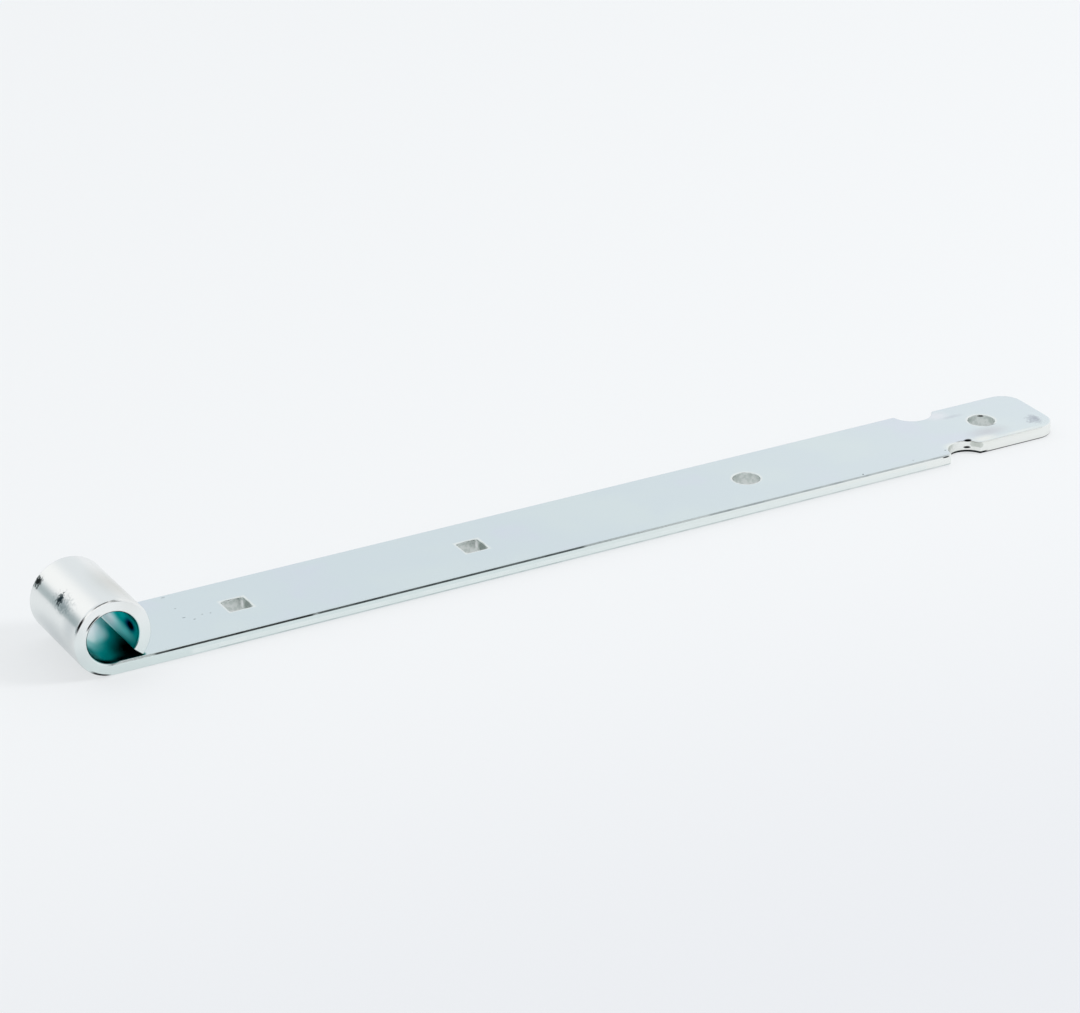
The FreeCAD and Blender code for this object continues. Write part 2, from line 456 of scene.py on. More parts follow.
    def _bevel(self, edges: list[bmesh.types.BMEdge], radius: float, segments: int) -> None:
        """Round edges.

        Args:
            edges: The edges.
            radius: Radius of the rounding.
            segments: Number of flat strips that a rounding is made of.
        """
        bmesh.ops.bevel(
            self.bm,
            geom=edges,
            offset=radius,
            offset_type="OFFSET",
            segments=segments,
            profile=0.5,
            affect="EDGES",
            clamp_overlap=False,
            loop_slide=True,
            material=-1,
        )

    def _round_edges(self) -> None:
        """Round the long edges as the mill left them, then what the press cut, then the rims."""
        s = self.sizes
        press_start = s.notch_x - s.notch_radius - self.same
        long_edges = [
            edge
            for edge in self._crisp_edges()
            if all(abs(vert.co.y) > s.half_width - self.same for vert in edge.verts)
            and abs(edge.verts[0].co.z - edge.verts[1].co.z) < self.same
        ]
        self._bevel(long_edges, s.bar_edge, self.edge_segments)
        pressed = [
            edge
            for edge in self._crisp_edges()
            if all(vert.co.x > press_start for vert in edge.verts)
            and not self._beside_hole(edge)
        ]
        self._bevel(pressed, s.tip_edge, self.rim_segments)
        upper_rims = [
            edge
            for edge in self._crisp_edges()
            if all(abs(vert.co.z - s.top) < self.same for vert in edge.verts)
            and self._beside_hole(edge)
        ]
        self._bevel(upper_rims, s.hole_rim, self.rim_segments)

    def _note_sides(self) -> None:
        """Note on each vertex how far it faces away from the bar's flats, for the material."""
        self.bm.normal_update()
        side = self.bm.verts.layers.float.new(SIDE_NOTE)
        for vert in self.bm.verts:
            vert[side] = 1 - abs(vert.normal.z)

    def _roll_eye(self) -> None:
        """Cut the strap off square above the bore's axis and spin its section round the bore."""
        geom = self.bm.verts[:] + self.bm.edges[:] + self.bm.faces[:]
        bmesh.ops.bisect_plane(
            self.bm,
            geom=geom,
            dist=self.same,
            plane_co=(0, 0, 0),
            plane_no=(1, 0, 0),
            clear_inner=True,
        )
        section = [edge for edge in self.bm.edges if edge.is_boundary]
        made = bmesh.ops.spin(
            self.bm,
            geom=section,
            cent=(0, 0, 0),
            axis=(0, 1, 0),
            angle=self.sizes.roll_angle,
            steps=self.roll_steps,
            use_duplicate=False,
        )
        cut_end = [g for g in made["geom_last"] if isinstance(g, bmesh.types.BMEdge)]
        bmesh.ops.contextual_create(self.bm, geom=cut_end)
        self._bevel(cut_end, self.sizes.cut_edge, self.cut_segments)
        bmesh.ops.recalc_face_normals(self.bm, faces=self.bm.faces[:])

    def _finish(self) -> bpy.types.Object:
        """Turn the mesh into an object with smooth curves, flat flats and crisp cut edges.

        Returns:
            The object.
        """
        mesh = bpy.data.meshes.new("plated_band")
        for face in self.bm.faces:
            face.smooth = True
        self.bm.to_mesh(mesh)
        self.bm.free()
        mesh.set_sharp_from_angle(angle=math.radians(self.sharp_angle_deg))
        band = bpy.data.objects.new("plated_band", mesh)
        bpy.context.scene.collection.objects.link(band)
        weighted = band.modifiers.new("flat_faces_stay_flat", "WEIGHTED_NORMAL")
        weighted.mode = "FACE_AREA"
        weighted.weight = self.flat_weight
        weighted.keep_sharp = True
        return band


class Fringe(Enum):
    """How a mark ends, each with the share of its radius that is at full strength."""

    HARD = 0.55
    CLOUDY = 0.0


@dataclass(frozen=True)
class Mark:
    """A mark on the plating, dark or pale, at a place in millimetres: a stain, or painted shade, a
    painted highlight or a painted reflection.

    Strength is its share where it is full. It is stretched that many times along each axis,
    and a ragged one is broken up into grains.
    """

    place_mm: tuple[float, float, float]
    radius_mm: float
    colour: str
    strength: float
    fringe: Fringe = Fringe.HARD
    stretched: tuple[float, float, float] = (1.0, 1.0, 1.0)
    ragged: float = 0.0


@dataclass(frozen=True)
class EdgeLine:
    """A thin line along the bar's near side, between two places along it. The lines are a pale
    band, painted contact shade and shadow, and a painted dark reflection.
    """

    height_mm: float
    half_mm: float
    from_mm: float
    to_mm: float
    colour: str
    strength: float
    broken: float = 0.0


@dataclass(frozen=True)
class RimLine:
    """A thin line round the near face of the eye, between two angles about the bore: painted dark
    reflection on a rim, or painted contact shadow at the bottom.
    """

    radius_mm: float
    half_mm: float
    from_deg: float
    to_deg: float
    colour: str
    strength: float


@dataclass(frozen=True)
class Surface:
    """What the material's nodes know about a point of the band's surface."""

    shading: Shading
    place: Socket
    x: Socket
    y: Socket
    z: Socket
    radius: Socket
    angle: Socket
    turned: Socket

    @classmethod
    def of_band(cls, shading: Shading) -> "Surface":
        """Add the nodes that look at a point.

        Args:
            shading: The material's node tree.

        Returns:
            The point's place, its distance from the bore's axis and its angle about it, and
            how far the surface faces away from the bar's flats there.
        """
        place = shading.add("ShaderNodeTexCoord", {}, "Object")
        x, y, z = shading.add("ShaderNodeSeparateXYZ", {0: place}).node.outputs
        flat = shading.add("ShaderNodeVectorMath", {0: place, 1: (1, 0, 1)}, operation="MULTIPLY")
        return cls(
            shading=shading,
            place=place,
            x=x,
            y=y,
            z=z,
            radius=shading.add("ShaderNodeVectorMath", {0: flat}, "Value", operation="LENGTH"),
            angle=shading.add("ShaderNodeMath", {0: z, 1: x}, operation="ARCTAN2"),
            turned=shading.add("ShaderNodeAttribute", {}, "Fac", attribute_name=SIDE_NOTE),
        )


@dataclass(frozen=True)
class ZincPlate:
    """Bright zinc with a blue passivate film, electroplated over rolled steel bar.

    The film's thickness sets its tint: faintly blue on the flat of the strap and nearly neutral
    on the rolled eye. The deep teal in the bore is painted shade, and marks and lines lay
    painted shade, highlights and reflections over the plating in places.
    """

    sizes: BandSizes
    strap_film: str = "#DCE6E9"
    strap_film_thin: str = "#DEE8E9"
    strap_film_lilac: str = "#DDE4EB"
    eye_film: str = "#E7E9E8"
    side_film: str = "#DFEAE9"
    side_highlight_tip: str = "#F4F6F3"
    side_highlight_top: str = "#F5F7F6"
    bore_painted_shade: str = "#08B4B3"
    punched_wall: str = "#E8ECEA"
    punched_wall_dull: str = "#D4DBD8"
    painted_rim_highlight: str = "#EBF0EE"
    roughness: float = 0.19
    sheared_roughness: float = 0.42
    bore_roughness: float = 0.3
    # Patches of film, as measured in the photo, and the noise at which they start and are full.
    film_patch_mm: float = 38.0
    thin_patches: tuple[float, float] = (0.5, 0.68)
    lilac_patches: tuple[float, float] = (0.48, 0.34)
    wall_patch_mm: float = 1.6
    dull_patches: tuple[float, float] = (0.42, 0.62)
    # The real grain is finer than a pixel, so it is drawn as coarse as it needs to show.
    grain_mm: float = 0.5
    grain_strength: float = 0.05
    grain_height_mm: float = 0.05
    # The eye's film starts above the strap's top face, and behind the bore's axis.
    eye_above: Fade = Fade(0.2, 2.0)
    eye_behind: Fade = Fade(2.0, -2.0)
    # A surface turned this far from the bar's flats counts wholly as a side.
    side_turned: float = 0.6
    # The side is painted paler along this stretch of the strap: a painted highlight.
    side_highlight_reach: Fade = Fade(150.0, 370.0)
    # The painted teal shade in the bore ends at the rim; in the groove it ends on all its sides.
    bore_rim: Fade = Fade(0.6, 0.2)
    groove_end: Fade = Fade(12.6, 11.4)
    groove_start: Fade = Fade(0.0, 1.5)
    groove_roof: Fade = Fade(-6.0, -6.6)
    groove_floor: Fade = Fade(-0.6, -0.2)
    groove_side: Fade = Fade(-0.4, -0.9)
    # Outside a hole's outline; its wall lies below the strap's top face, and the painted highlight
    # on its rim lies at and just under that face.
    hole_near: Fade = Fade(1.1, 0.44)
    wall_depth: Fade = Fade(-0.25, -0.6)
    rim_highlight_depth: Fade = Fade(-0.6, -0.25)
    # The grains of a ragged mark move its edge by up to this many times its raggedness and
    # radius; they are as large as in the photo.
    ragged_swing: float = 3.0
    ragged_grain_mm: float = 0.9
    # An edge line is full to this share of its half width. It fades past its ends and in
    # from the bar's near side, and noise breaks it up.
    line_core: float = 0.6
    line_from: Fade = Fade(-2.0, 0.0)
    line_to: Fade = Fade(2.0, 0.0)
    line_side: Fade = Fade(1.0, 0.0)
    line_gap_mm: float = 6.0
    line_gaps: tuple[float, float] = (0.4, 0.6)
    # The same for a line round the eye's near face.
    rim_core: float = 0.5
    rim_fade_deg: float = 6.0
    rim_side: Fade = Fade(1.08, 0.6)
    marks: tuple[Mark, ...] = (
        # Clouds on the eye: painted shade on its lower left, and a darker, warmer cloud on its top.
        Mark((-13.5, -2.0, -5.5), 11.0, "#C3CACC", 1.0, Fringe.CLOUDY, (1, 2.6, 1)),
        Mark((7.5, -6.0, 12.5), 11.0, "#D3D4CF", 1.0, Fringe.CLOUDY, (1, 2.0, 1)),
        # A painted dark reflection along the eye's dark band, more painted shade near the ring,
        # then the eye's two smudges, each with a halo and a core.
        Mark((-11.3, -4.0, 9.0), 4.5, "#8C9A9E", 0.7, Fringe.CLOUDY, (1, 2.2, 1), ragged=0.25),
        Mark((-13.4, -14.5, 4.5), 6.0, "#C3CACC", 0.7, Fringe.CLOUDY, (1, 1.4, 1.2)),
        Mark((-11.6, 17.2, 8.8), 2.7, "#24302F", 0.85, ragged=0.4),
        Mark((-11.6, 17.2, 8.8), 1.5, "#081312", 1.0, ragged=0.15),
        Mark((-11.0, -0.9, 9.5), 2.5, "#1C343A", 0.85, ragged=0.4),
        Mark((-11.0, -1.0, 9.5), 1.6, "#03222A", 1.0, ragged=0.15),
        # Painted shade on the square holes' far walls, and painted highlights in their corners.
        Mark((60.0, 0.0, -11.8), 3.0, "#9AA5A0", 0.7, Fringe.HARD, (0.3, 1.3, 1)),
        Mark((60.0, 4.4, -12.0), 0.5, "#FFFFFF", 0.9, Fringe.HARD, (1.2, 1.2, 4)),
        Mark((154.5, 0.0, -11.8), 3.0, "#8F9B95", 0.75, Fringe.HARD, (0.3, 1.3, 1)),
        Mark((154.5, 4.4, -12.0), 0.5, "#FFFFFF", 0.9, Fringe.HARD, (1.2, 1.2, 4)),
        # Specks on the strap.
        Mark((307.5, -19.0, -9.5), 0.4, "#4A5A5C", 0.9),
        Mark((331.0, -17.9, -9.5), 0.35, "#5A6668", 0.8),
        Mark((346.8, -16.4, -9.5), 0.5, "#8FA09C", 0.8),
        Mark((35.0, 17.7, -9.5), 0.5, "#A6B0B3", 0.7, Fringe.HARD, (2, 1, 1)),
        Mark((35.2, 7.6, -9.5), 0.4, "#9AA5A8", 0.7),
        Mark((34.9, -0.4, -9.5), 0.5, "#9AA5A8", 0.7, Fringe.HARD, (1.6, 1, 1)),
        Mark((37.7, -3.3, -9.5), 0.45, "#9AA5A8", 0.7, Fringe.HARD, (1.4, 1, 1)),
        Mark((41.6, -1.2, -9.5), 0.4, "#9AA5A8", 0.7),
        Mark((44.6, -1.7, -9.5), 0.4, "#9AA5A8", 0.7),
        # On the tip: a painted reflection in grey on its near half, and painted highlights round
        # the near notch and along the near edge.
        Mark((371.0, -10.0, -9.5), 8.0, "#CDCFD3", 0.75, Fringe.CLOUDY, (1.6, 0.8, 1)),
        Mark((366.0, -15.0, -9.5), 5.0, "#F2F4EE", 0.95, Fringe.CLOUDY, (1.9, 0.9, 1)),
        Mark((382.0, -16.2, -9.5), 3.2, "#F2F4EE", 0.6, Fringe.CLOUDY, (5, 0.7, 1)),
        Mark((351.5, -15.0, -9.5), 5.0, "#EEF3EC", 0.9, Fringe.CLOUDY, (1.2, 1, 1)),
        # A pale and a grey cloud by the far notch, then the tip's smudge.
        Mark((362.0, 12.0, -9.5), 6.0, "#ECEDF1", 0.8, Fringe.CLOUDY, (1.2, 1, 1)),
        Mark((367.0, 8.5, -9.5), 4.0, "#C6CCD4", 0.5, Fringe.CLOUDY, (1.8, 0.5, 1), ragged=0.1),
        Mark((393.0, -9.4, -9.6), 4.2, "#A9B0BA", 0.7, Fringe.CLOUDY, (0.9, 1.3, 1), ragged=0.2),
        Mark((394.6, -8.6, -9.6), 3.4, "#A9B0BA", 0.7, Fringe.CLOUDY, (0.6, 1.5, 1), ragged=0.08),
        Mark((390.6, -10.6, -9.6), 1.6, "#A9B0BA", 0.6, Fringe.CLOUDY, (1.4, 1.0, 1), ragged=0.3),
        # Dark spots in the tip's hole and round the near notch.
        Mark((378.0, 4.5, -10.0), 1.1, "#0A0E0E", 0.95, Fringe.HARD, (1.9, 1, 0.4)),
        Mark((375.5, -5.45, -9.6), 0.5, "#4A5452", 0.8, Fringe.HARD, (6, 0.8, 1)),
        Mark((359.6, -13.0, -9.65), 1.2, "#050808", 1.0, Fringe.HARD, (1.7, 1.2, 0.45)),
        Mark((359.5, -12.9, -12.35), 1.2, "#050808", 1.0, Fringe.HARD, (1.6, 1.2, 0.5)),
        Mark((361.3, -14.4, -10.9), 1.6, "#CDD2CC", 0.85, Fringe.HARD, (1, 1.1, 0.85)),
        Mark((362.1, -15.6, -10.9), 1.6, "#CDD2CC", 0.85, Fringe.HARD, (1, 1.1, 0.85)),
        Mark((362.9, -16.8, -10.9), 1.6, "#CDD2CC", 0.85, Fringe.HARD, (1, 1.1, 0.85)),
        Mark((344.8, -19.8, -10.5), 0.8, "#060A0A", 1.0, Fringe.HARD, (2.4, 1, 0.5)),
    )
    # Painted shade and painted highlights in the bore and the groove, over the painted teal shade.
    bore_painted_shade_and_highlights: tuple[Mark, ...] = (
        Mark((7.5, 14.0, -6.0), 10.0, "#DCE8EA", 1.0, Fringe.CLOUDY, (1, 1.3, 1)),
        Mark((1.8, 6.8, -9.5), 9.3, "#EEF4F6", 1.0, Fringe.HARD, (0.75, 1.3, 1)),
        Mark((-2.5, -1.5, -9.3), 8.0, "#DDEFEE", 0.85, Fringe.CLOUDY, (1, 1.6, 1)),
        Mark((8.6, -12.5, -9.5), 10.0, "#01060A", 1.0, Fringe.CLOUDY, (0.9, 1.5, 1)),
        Mark((8.4, 3.5, -4.4), 4.2, "#D8E6EA", 1.0, Fringe.CLOUDY, (1, 3.6, 1)),
        Mark((9.4, -10.5, -1.6), 4.8, "#0A6470", 0.8, Fringe.CLOUDY, (1, 1.4, 0.6)),
        Mark((8.7, -9.5, -4.0), 3.2, "#B4E6E6", 0.85, Fringe.CLOUDY, (1, 4.0, 1)),
        Mark((9.5, -12.8, -0.5), 3.8, "#020E50", 1.0, Fringe.CLOUDY, (1, 1.7, 0.9)),
        Mark((9.5, -13.2, -0.7), 2.0, "#02062E", 1.0, Fringe.CLOUDY, (1, 1.7, 0.9)),
        Mark((-6.5, -14.0, -7.0), 6.0, "#C4F4F2", 0.8, Fringe.CLOUDY, (1.2, 1.2, 1)),
        Mark((-3.0, -19.0, -9.3), 3.6, "#03282C", 1.0, Fringe.CLOUDY, (3, 0.9, 1)),
        Mark((3.5, -18.0, -9.5), 4.0, "#02141C", 0.85, Fringe.CLOUDY, (1.3, 0.9, 1)),
        # A painted highlight along the edge of the bar's cut end.
        Mark((7.29, 8.0, -6.09), 0.5, "#FFFFFF", 1.0, Fringe.CLOUDY, (1, 40, 1)),
        Mark((10.8, -17.5, -8.5), 3.0, "#2A7A5E", 0.9, Fringe.CLOUDY),
    )
    # Along the near side: a pale band on the side, painted contact shade at its foot, a painted
    # dark reflection along its top edge, and painted contact shadow under the tip.
    lines: tuple[EdgeLine, ...] = (
        EdgeLine(-12.6, 1.1, 30, 335, "#ECF3F2", 0.9, 0.4),
        EdgeLine(-13.75, 0.3, 40, 346, "#B9C6C6", 0.8, 0.5),
        EdgeLine(-10.15, 0.36, 16, 75, "#2A3234", 0.95, 0.1),
        EdgeLine(-10.15, 0.36, 79, 185, "#5A6668", 0.9, 0.2),
        EdgeLine(-10.1, 0.35, 240, 345, "#A8B2B4", 0.8, 0.4),
        EdgeLine(-13.95, 0.65, 353, 365, "#0B1113", 1.0),
        EdgeLine(-14.2, 0.4, 365, 398, "#0B1113", 1.0, 0.1),
    )
    # Painted dark reflections on the inner and outer rims at the upper left, and a painted contact
    # shadow on the outer rim at the bottom.
    rim_lines: tuple[RimLine, ...] = (
        RimLine(10.75, 0.42, 117, 150, "#0A0D0F", 1.0),
        RimLine(14.1, 0.4, 138, 155, "#0C0F10", 1.0),
        RimLine(14.1, 0.8, -127, -100, "#0C1214", 1.0),
    )

    def material(self) -> bpy.types.Material:
        """Make the material.

        Returns:
            The material.
        """
        material = bpy.data.materials.new("blue_passivated_zinc")
        material.use_nodes = True
        shading = Shading(material.node_tree)
        at = Surface.of_band(shading)
        film_and_painted_light, inside = self._bore(at)
        # In the bore the painted teal shade tints grazing reflections as well.
        colour, edge_tint = (
            shading.add("ShaderNodeMix", {"Factor": inside, "A": outside, "B": film_and_painted_light}, **MIX_COLOURS)
            for outside in (self._film(at), WHITE)
        )
        colour, sheared = self._punched(at, colour)
        # Stains, and painted shade, highlights and reflections, laid over the plating.
        covers = [
            *((self._mark_share(at, mark), mark.colour) for mark in self.marks),
            *((self._edge_line_share(at, line), line.colour) for line in self.lines),
            *((self._rim_line_share(at, line), line.colour) for line in self.rim_lines),
        ]
        for share, tint in covers:
            colour = shading.add(
                "ShaderNodeMix",
                {"Factor": share, "A": colour, "B": linear_colour(tint)},
                **MIX_COLOURS,
            )
        rough = self.roughness
        for share, full in ((sheared, self.sheared_roughness), (inside, self.bore_roughness)):
            rough = shading.add(
                "ShaderNodeMapRange", {"Value": share, "To Min": rough, "To Max": full}
            )
        shader = shading.add(
            "ShaderNodeBsdfPrincipled",
            {
                "Base Color": colour,
                "Metallic": 1.0,
                "Roughness": rough,
                "Specular Tint": edge_tint,
                "Normal": self._grain(at),
            },
        )
        shading.add("ShaderNodeOutputMaterial", {"Surface": shader})
        return material

    def _film(self, at: Surface) -> Socket:
        """Tint the plating by the film on the strap, the rolled eye and the bar's sides, with
        painted highlights on the sides toward the tip and the top.

        Args:
            at: The point of the surface.

        Returns:
            The film's colour.
        """
        s, shading = self.sizes, at.shading
        cloud = shading.add(
            "ShaderNodeTexNoise",
            {"Vector": at.place, "Scale": 1 / (self.film_patch_mm * MM), "Detail": 3.0},
        )
        height, toward_tip = (
            shading.add("ShaderNodeMapRange", {"Value": value, "From Min": low, "From Max": high})
            for value, low, high in (
                (at.z, s.top, s.bore_radius),
                (at.x, *self.side_highlight_reach.past(0)),
            )
        )
        # Painted highlights: the sides are painted paler toward the tip and toward the top.
        side = linear_colour(self.side_film)
        for share, film_and_painted_light in ((toward_tip, self.side_highlight_tip), (height, self.side_highlight_top)):
            side = shading.add(
                "ShaderNodeMix",
                {"Factor": share, "A": side, "B": linear_colour(film_and_painted_light)},
                **MIX_COLOURS,
            )
        thin, lilac, above, behind, on_side = (
            shading.within([limit])
            for limit in (
                (cloud, *self.thin_patches),
                (cloud, *self.lilac_patches),
                (at.z, *self.eye_above.past(s.top)),
                (at.x, *self.eye_behind.past(0)),
                (at.turned, 0.0, self.side_turned),
            )
        )
        rolled = shading.add("ShaderNodeMath", {0: above, 1: behind}, operation="MAXIMUM")
        colour = linear_colour(self.strap_film)
        for share, film_and_painted_light in (
            (thin, linear_colour(self.strap_film_thin)),
            (lilac, linear_colour(self.strap_film_lilac)),
            (rolled, linear_colour(self.eye_film)),
            (on_side, side),
        ):
            colour = shading.add(
                "ShaderNodeMix", {"Factor": share, "A": colour, "B": film_and_painted_light}, **MIX_COLOURS
            )
        return colour

    def _bore(self, at: Surface) -> tuple[Socket, Socket]:
        """Paint the bore and its groove teal as painted shade, with painted shade and highlights
        over it.

        Args:
            at: The point of the surface.

        Returns:
            The painted colour, and how far the point is inside the bore or the groove.
        """
        s, shading = self.sizes, at.shading
        across = shading.add("ShaderNodeMath", {0: at.y}, operation="ABSOLUTE")
        bore = shading.within([(at.radius, *self.bore_rim.past(s.bore_radius))])
        groove = shading.within(
            [
                (at.x, *self.groove_end.past(0)),
                (at.x, *self.groove_start.past(0)),
                (at.z, *self.groove_roof.past(0)),
                (at.z, *self.groove_floor.past(s.top)),
                (across, *self.groove_side.past(s.half_width)),
            ]
        )
        inside = shading.add("ShaderNodeMath", {0: bore, 1: groove}, operation="MAXIMUM")
        # The teal is painted shade, and the marks over it are painted shade and painted highlights.
        film_and_painted_light = linear_colour(self.bore_painted_shade)
        for mark in self.bore_painted_shade_and_highlights:
            film_and_painted_light = shading.add(
                "ShaderNodeMix",
                {"Factor": self._mark_share(at, mark), "A": film_and_painted_light, "B": linear_colour(mark.colour)},
                **MIX_COLOURS,
            )
        return film_and_painted_light, inside

    def _punched(self, at: Surface, colour: Socket) -> tuple[Socket, Socket]:
        """Dull the walls of the punched holes and paint a highlight on their rims.

        Args:
            at: The point of the surface.
            colour: The colour so far.

        Returns:
            The colour with the holes, and how far the surface is one that the press sheared.
        """
        s, shading = self.sizes, at.shading
        patches = shading.add(
            "ShaderNodeTexNoise",
            {"Vector": at.place, "Scale": 1 / (self.wall_patch_mm * MM), "Detail": 2.0},
        )
        wall = shading.add(
            "ShaderNodeMix",
            {
                "Factor": shading.within([(patches, *self.dull_patches)]),
                "A": linear_colour(self.punched_wall),
                "B": linear_colour(self.punched_wall_dull),
            },
            **MIX_COLOURS,
        )
        beyond = shading.add(
            "ShaderNodeMath", {0: at.x, 1: s.notch_x - s.notch_radius}, operation="GREATER_THAN"
        )
        sheared = shading.add("ShaderNodeMath", {0: beyond, 1: at.turned}, operation="MULTIPLY")
        for hole in s.holes:
            near = (self._outside_hole(at, hole), *self.hole_near.past(0))
            # Each hole gets its dull wall and a painted highlight on its rim.
            walled, highlit_rim = (
                shading.within([near, (at.z, *depth.past(s.top))])
                for depth in (self.wall_depth, self.rim_highlight_depth)
            )
            for share, film_and_painted_light in ((walled, wall), (highlit_rim, linear_colour(self.painted_rim_highlight))):
                colour = shading.add(
                    "ShaderNodeMix", {"Factor": share, "A": colour, "B": film_and_painted_light}, **MIX_COLOURS
                )
            sheared = shading.add("ShaderNodeMath", {0: sheared, 1: walled}, operation="MAXIMUM")
        return colour, sheared

    def _outside_hole(self, at: Surface, hole: Hole) -> Socket:
        """Measure how far outside a hole's outline a point lies.

        Args:
            at: The point of the surface.
            hole: The hole.

        Returns:
            The distance, which is negative within the outline.
        """
        shading = at.shading
        apart = shading.add(
            "ShaderNodeVectorMath", {0: at.place, 1: (hole.x, 0, 0)}, operation="SUBTRACT"
        )
        flat = shading.add("ShaderNodeVectorMath", {0: apart, 1: (1, 1, 0)}, operation="MULTIPLY")
        if hole.shape is HoleShape.ROUND:
            reach = shading.add("ShaderNodeVectorMath", {0: flat}, "Value", operation="LENGTH")
        else:
            sides = shading.add("ShaderNodeVectorMath", {0: flat}, operation="ABSOLUTE")
            x, y, _ = shading.add("ShaderNodeSeparateXYZ", {0: sides}).node.outputs
            reach = shading.add("ShaderNodeMath", {0: x, 1: y}, operation="MAXIMUM")
        return shading.add("ShaderNodeMath", {0: reach, 1: hole.half}, operation="SUBTRACT")

    def _mark_share(self, at: Surface, mark: Mark) -> Socket:
        """Measure how much of a point a mark covers.

        Args:
            at: The point of the surface.
            mark: The stain.

        Returns:
            The stain's share.
        """
        shading, radius, middle = at.shading, mark.radius_mm * MM, Vector(mark.place_mm) * MM
        apart = shading.add(
            "ShaderNodeVectorMath", {0: at.place, 1: middle}, operation="SUBTRACT"
        )
        squeezed = shading.add(
            "ShaderNodeVectorMath", {0: apart, 1: mark.stretched}, operation="DIVIDE"
        )
        distance = shading.add("ShaderNodeVectorMath", {0: squeezed}, "Value", operation="LENGTH")
        if mark.ragged:
            grains = shading.add(
                "ShaderNodeTexNoise",
                {"Vector": at.place, "Scale": 1 / (self.ragged_grain_mm * MM), "Detail": 2.0},
            )
            swing = self.ragged_swing * mark.ragged * radius
            nearer, farther = (
                shading.add("ShaderNodeMath", {0: distance, 1: swing}, operation=step)
                for step in ("SUBTRACT", "ADD")
            )
            distance = shading.add(
                "ShaderNodeMapRange", {"Value": grains, "To Min": nearer, "To Max": farther}
            )
        return shading.within([(distance, radius, mark.fringe.value * radius)], mark.strength)

    def _edge_line_share(self, at: Surface, line: EdgeLine) -> Socket:
        """Measure how much of a point a line along the bar's near side covers.

        Args:
            at: The point of the surface.
            line: The line.

        Returns:
            The line's share.
        """
        shading, half = at.shading, line.half_mm * MM
        off = shading.add(
            "ShaderNodeMath", {0: at.z, 1: line.height_mm * MM}, operation="SUBTRACT"
        )
        off = shading.add("ShaderNodeMath", {0: off}, operation="ABSOLUTE")
        share = shading.within(
            [
                (off, half, self.line_core * half),
                (at.x, *self.line_from.past(line.from_mm * MM)),
                (at.x, *self.line_to.past(line.to_mm * MM)),
                (at.y, *self.line_side.past(-self.sizes.notch_floor)),
            ],
            line.strength,
        )
        if line.broken:
            gaps = shading.add(
                "ShaderNodeTexNoise",
                {"Vector": at.place, "Scale": 1 / (self.line_gap_mm * MM), "Detail": 3.0},
            )
            low, high = self.line_gaps
            kept = shading.add(
                "ShaderNodeMapRange",
                {"Value": gaps, "From Min": low, "From Max": high, "To Min": 1 - line.broken},
            )
            share = shading.add("ShaderNodeMath", {0: share, 1: kept}, operation="MULTIPLY")
        return share

    def _rim_line_share(self, at: Surface, line: RimLine) -> Socket:
        """Measure how much of a point a line round the eye's near face covers.

        Args:
            at: The point of the surface.
            line: The line.

        Returns:
            The line's share.
        """
        shading, half = at.shading, line.half_mm * MM
        off = shading.add(
            "ShaderNodeMath", {0: at.radius, 1: line.radius_mm * MM}, operation="SUBTRACT"
        )
        off = shading.add("ShaderNodeMath", {0: off}, operation="ABSOLUTE")
        start, end, fade = map(math.radians, (line.from_deg, line.to_deg, self.rim_fade_deg))
        return shading.within(
            [
                (off, half, self.rim_core * half),
                (at.angle, start - fade, start + fade),
                (at.angle, end + fade, end - fade),
                (at.y, *self.rim_side.past(-self.sizes.half_width)),
            ],
            line.strength,
        )

    def _grain(self, at: Surface) -> Socket:
        """Give the surface the fine waviness of rolled bar under bright plating.

        Args:
            at: The point of the surface.

        Returns:
            The surface's bumpy normal.
        """
        grain = at.shading.add(
            "ShaderNodeTexNoise",
            {"Vector": at.place, "Scale": 1 / (self.grain_mm * MM), "Detail": 2.0},
        )
        return at.shading.add(
            "ShaderNodeBump",
            {
                "Height": grain,
                "Strength": self.grain_strength,
                "Distance": self.grain_height_mm * MM,
            },
        )


@dataclass(frozen=True)
class WhitePaper:
    """Matt white seamless paper, exposed nearly to white so that it takes only a light shade, with
    painted shade toward the near side.
    """

    paper: str = "#F6F7F9"
    exposed: str = "#F2F4F5"
    exposed_near_painted_shade: str = "#E4E6EA"
    near_reach: float = 0.35
    evenness: float = 0.65

    def material(self) -> bpy.types.Material:
        """Make the material.

        Returns:
            The material.
        """
        material = bpy.data.materials.new("matt_white_paper")
        material.use_nodes = True
        shading = Shading(material.node_tree)
        matt = shading.add(
            "ShaderNodeBsdfDiffuse", {"Color": linear_colour(self.paper), "Roughness": 0.0}
        )
        place = shading.add("ShaderNodeTexCoord", {}, "Object")
        back = shading.add("ShaderNodeSeparateXYZ", {0: place}, "Y")
        # Painted shade: the exposed white turns darker toward the near side.
        tone = shading.add(
            "ShaderNodeMix",
            {
                "Factor": shading.within([(back, 0.0, -self.near_reach)]),
                "A": linear_colour(self.exposed),
                "B": linear_colour(self.exposed_near_painted_shade),
            },
            **MIX_COLOURS,
        )
        white = shading.add("ShaderNodeEmission", {"Color": tone, "Strength": 1.0})
        path = shading.add("ShaderNodeLightPath", {}).node.outputs
        seen = shading.add(
            "ShaderNodeMath",
            {0: path["Is Camera Ray"], 1: path["Is Glossy Ray"]},
            operation="MAXIMUM",
        )
        share = shading.add("ShaderNodeMath", {0: seen, 1: self.evenness}, operation="MULTIPLY")
        paper = shading.add("ShaderNodeMixShader", {0: share, 1: matt, 2: white})
        shading.add("ShaderNodeOutputMaterial", {"Surface": paper})
        return material


